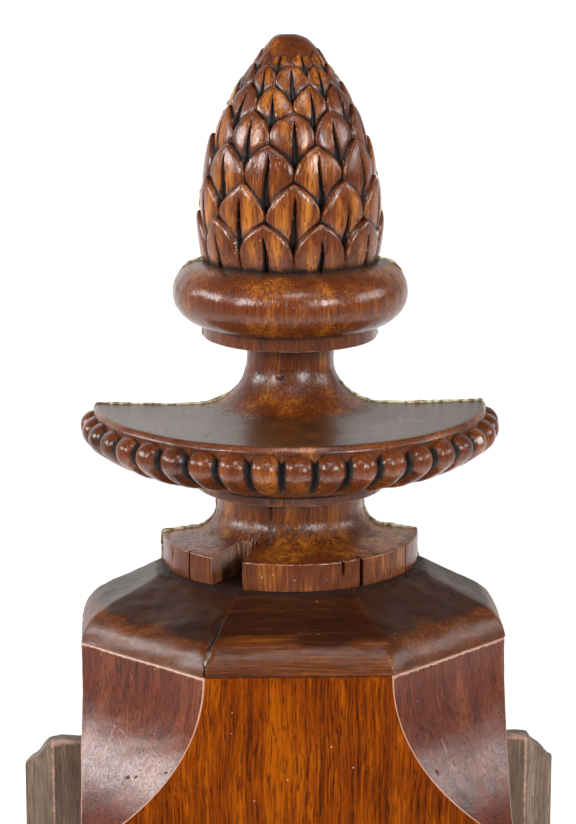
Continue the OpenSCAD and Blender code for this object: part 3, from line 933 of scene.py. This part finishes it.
# %% Board
board_top = (board_hi[2] - board_lo[2]) / MM
board_half = (board_hi[0] - board_lo[0]) / 2 / MM
board_t = (board_hi[1] - board_lo[1]) / MM
bevel_w, bevel_t, clip = 14.0, 4.0, 13.0
flat_half = board_half - bevel_w
board_x = np.unique(np.concatenate([
    np.linspace(-board_half, -flat_half, 9), np.linspace(-flat_half, flat_half, 60),
    np.linspace(flat_half, board_half, 9), [0.8 - flat_half, flat_half - 0.8]]))
rise = np.concatenate([np.linspace(0, 0.85, 18), np.linspace(0.86, 1, 50)])
rough_top = 0.5 * ripple(np.stack([board_x, 0 * board_x, 0 * board_x], -1), 5, 71) - 0.8
top_at = board_top - np.clip(np.abs(board_x) - (board_half - clip), 0, clip) + rough_top
bevel_at = (board_t - bevel_t) * np.clip((np.abs(board_x) - flat_half) / bevel_w, 0, 1)
bx = board_x[None, :] + 0 * rise[:, None]
bz = rise[:, None] * top_at[None, :]
front_y = bevel_at[None, :] + 0.15 + 0 * bz
board_front = np.stack([bx, front_y, bz], -1)
board_front[..., 1] += 0.12 * ripple(board_front, 20, 72) * (bevel_at[None, :] < board_t - bevel_t)
board_front[..., 1] = np.clip(board_front[..., 1], 0, board_t)
rows, cols = bx.shape
board_back = np.stack([bx, board_t + 0 * bx, bz], -1)
at = np.arange(rows * cols).reshape(rows, cols)
rim = at[0].tolist() + at[1:, -1].tolist() + at[-1, -2::-1].tolist() + at[-2:0:-1, 0].tolist()
back = rows * cols
board_faces = quads(at) + [[i + back for i in face[::-1]] for face in quads(at)]
board_faces += [[i, j, j + back, i + back] for i, j in zip(rim, rim[1:] + rim[:1])]
board_wear = 0.6 * np.exp(-np.abs(np.abs(bx) - flat_half)) + ramp(board_top - 2, board_top, bz)
board_marks = {"wear": np.concatenate([np.clip(board_wear, 0, 1).reshape(-1), np.zeros(back)]),
               "tone": np.full(2 * back, plain_tone)}
board_points = np.concatenate([board_front.reshape(-1, 3), board_back.reshape(-1, 3)])
board_walnut = varnished_walnut("dull walnut board", ("#3b2b21", "#67513f", "#8a7461"), gloss=0.5, pores=0.4)
build_piece("board_bevelled", [(board_points, board_faces, board_marks)], board_lo[2], [board_walnut],
            "back_board")

# %% [markdown]
# ## Plaster crust
# When the newel was taken off its wall, a thin crust of old plaster stayed along its back edges.
# It is a lumpy strip that follows the outline of the finial on both sides, thicker where ledges
# caught it and nearly nothing between. A tube of eight sides, swept along the outline with a
# radius that comes and goes, gives that for few triangles.

# %% Plaster crust
def crust_strip(outline, side, seed):
    """A lumpy tube along an outline of radii and heights, on one side of the flat back."""
    run = np.concatenate([[0], np.cumsum(np.linalg.norm(np.diff(outline, axis=0), axis=1))])
    at = np.arange(0, run[-1], 0.9)
    path = np.stack([np.interp(at, run, outline[:, 0]), np.interp(at, run, outline[:, 1])], -1)
    along = np.gradient(path, axis=0)
    along /= np.linalg.norm(along, axis=1)[:, None]
    out = np.stack([along[:, 1], -along[:, 0]], -1)
    line = np.stack([at, 0 * at, 0 * at], -1)
    lumps = 0.5 * ripple(line, 16, seed) + 0.35 * ripple(line, 4, seed + 1)
    ledge = ramp(0.3, 0.9, -along[:, 0]) + 0.5 * ramp(dish_z - 20, dish_z - 34, path[:, 1])
    ledge += 0.5 * ramp(cone_z + 40, cone_z + 5, path[:, 1]) * (path[:, 1] > cone_z)
    thick = np.clip(0.15 + 0.5 * ledge + 0.45 * lumps, 0.06, 1.5)[:, None]
    spin = np.linspace(0, 2 * math.pi, 9)[None, :-1]
    height = thick * (0.3 + np.cos(spin))
    x = side * (path[:, :1] + out[:, :1] * height)
    y = -thick * (1.05 + np.sin(spin))
    z = path[:, 1:] + out[:, 1:] * height
    return band_grid(np.stack([x, y, z], -1))


cone_outline = np.stack(cone_side(np.linspace(foot_turn + 2, 60, 60)), -1) - [1.2, 0]
body_outline = body_profile[body_profile[:, 0] > 1]
strips = [crust_strip(outline, side, 80 + 2 * k) for k, (outline, side) in enumerate(
    [(body_outline, -1), (body_outline, 1), (cone_outline, 1), (cone_outline, -1)])]

plaster = bpy.data.materials.new("old lime plaster")
plaster.use_nodes = True
tree = plaster.node_tree
shader = tree.nodes["Principled BSDF"]
where = add(tree, "TexCoord").outputs["Object"]
coarse = add(tree, "TexNoise", {"Vector": where, "Scale": 1 / (3 * MM), "Detail": 4.0})
stain = add(tree, "MapRange", (coarse, 0.4, 0.62), **smooth)
limed = add(tree, "Mix", (stain, linear("#6b5f3f"), linear("#cfc5a6")), **blend)
crumbly = add(tree, "Bump", {"Strength": 0.6, "Distance": 0.6 * MM, "Height": coarse})
tree.links.new(limed.outputs[2], shader.inputs["Base Color"])
tree.links.new(crumbly.outputs[0], shader.inputs["Normal"])
shader.inputs["Roughness"].default_value = 0.9
build_piece("plaster_crust", strips, finial_lo[2], [plaster], sharp=80)

# %% [markdown]
# ## Floor
# The newel stands on a wide, pale and matt floor, so that nothing takes the eye from the carving.

# %% Floor
floor_half = 30.0
floor_mesh = bpy.data.meshes.new("floor")
corners = [(x * floor_half, y * floor_half, 0) for x, y in ((-1, -1), (1, -1), (1, 1), (-1, 1))]
floor_mesh.from_pydata(corners, [], [(0, 1, 2, 3)])
floor = bpy.data.objects.new("floor", floor_mesh)
bpy.context.collection.objects.link(floor)
paint = bpy.data.materials.new("matt white floor paint")
paint.use_nodes = True
shader = paint.node_tree.nodes["Principled BSDF"]
shader.inputs["Base Color"].default_value = linear("#f4f4f4")
shader.inputs["Roughness"].default_value = 0.9
floor_mesh.materials.append(paint)
print("floor", 2 * floor_half, "m wide")

# %% [markdown]
# ## Light
# Varnish shows mostly what it reflects. Five soft lights, two on each side and one above, give it
# long pale reflections with soft edges, where a bare lamp would give hard white dots.
# A wide light over the floor behind the newel is linked to the floor alone, so that the floor is
# white without a veil of white on the varnish. The room is brightest low down behind and on the
# left, and dim overhead and in front.

# %% Light
def soft_light(name, place, aim, wide, tall, watts):
    """A large square light at a place, turned to a point."""
    data = bpy.data.lights.new(name, "AREA")
    data.shape = "RECTANGLE"
    data.size, data.size_y, data.energy = wide, tall, watts
    light = bpy.data.objects.new(name, data)
    bpy.context.collection.objects.link(light)
    light.location = place
    light.rotation_euler = (Vector(aim) - Vector(place)).to_track_quat("-Z", "Y").to_euler()
    print(name, watts, "W")
    return light


head = (axis_x, axis_y - 0.03, post_hi[2] + 0.05)
for name, place, wide, tall, watts in (
        ("left light", (-1.78, 0.02, 1.54), 0.8, 0.42, 19),
        ("front left light", (-1.28, -1.22, 1.70), 0.3, 0.55, 18),
        ("right light", (1.78, -0.04, 1.56), 0.8, 0.5, 10),
        ("front right light", (0.98, -1.46, 1.60), 0.3, 0.6, 20),
        ("top light", (0.1, -1.4, 2.8), 0.8, 0.5, 12)):
    soft_light(name, place, head, wide, tall, watts)

floor_light = soft_light("floor light", (0.0, 11.0, 5.0), (0, 11.0, 0), 18.0, 18.0, 1600)
floor_only = bpy.data.collections.new("floor only")
floor_only.objects.link(floor)
floor_light.light_linking.receiver_collection = floor_only

# %% Room
room = bpy.data.worlds.new("studio room")
room.use_nodes = True
tree = room.node_tree
way = add(tree, "SeparateXYZ", (add(tree, "TexCoord").outputs["Generated"],))
behind = add(tree, "MapRange", (way.outputs[1], 0.3, 0.85), **smooth)
low_down = add(tree, "MapRange", (way.outputs[2], 0.9, 0.4), **smooth)
bright = add(tree, "Math", (behind, low_down), operation="MULTIPLY")
left_more = add(tree, "MapRange", (way.outputs[0], -0.1, 0.1, 1.15, 0.5))
bright = add(tree, "Math", (bright, left_more), operation="MULTIPLY")
glow = add(tree, "Math", (bright, 1.0, 0.1), operation="MULTIPLY_ADD")
background = tree.nodes["Background"]
background.inputs["Color"].default_value = (1, 1, 1, 1)
tree.links.new(glow.outputs[0], background.inputs["Strength"])
bpy.context.scene.world = room
bpy.context.scene.view_settings.view_transform = "Standard"
print("room", len(tree.nodes), "nodes")
